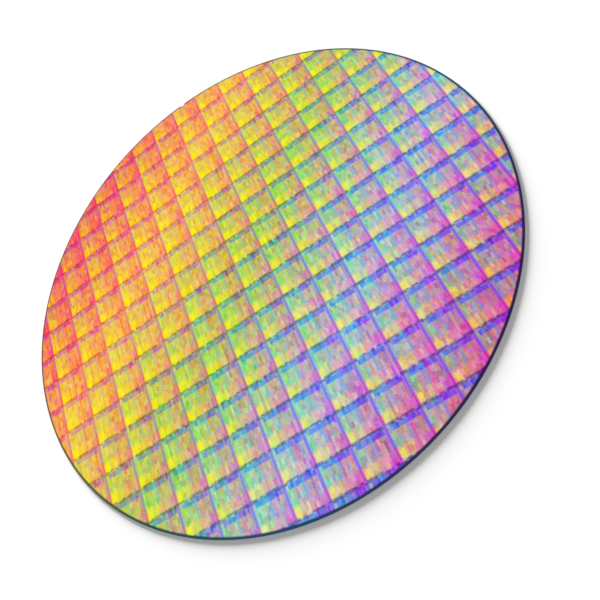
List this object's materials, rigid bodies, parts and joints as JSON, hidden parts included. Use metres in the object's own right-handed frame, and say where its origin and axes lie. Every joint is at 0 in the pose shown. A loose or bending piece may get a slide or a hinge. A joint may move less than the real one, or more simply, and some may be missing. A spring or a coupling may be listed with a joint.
{
  "type": "silicon wafer",
  "caption": "Thin round silicon wafer with a bevelled edge, an alignment notch, and a square grid of dies with an iridescent patterned face.",
  "frame": {"origin": "centre of the wafer's flat back face", "axes": "+Z through the thickness, out of the patterned face; +Y from the centre to the notch; X and Y run along the streets between the dies"},
  "size_m": [0.2, 0.2, 0.0007],
  "materials": {
    "patterned_silicon": "gloss"
  },
  "bodies": {
    "root": {"wafer": "patterned_silicon"}
  },
  "joints": []
}
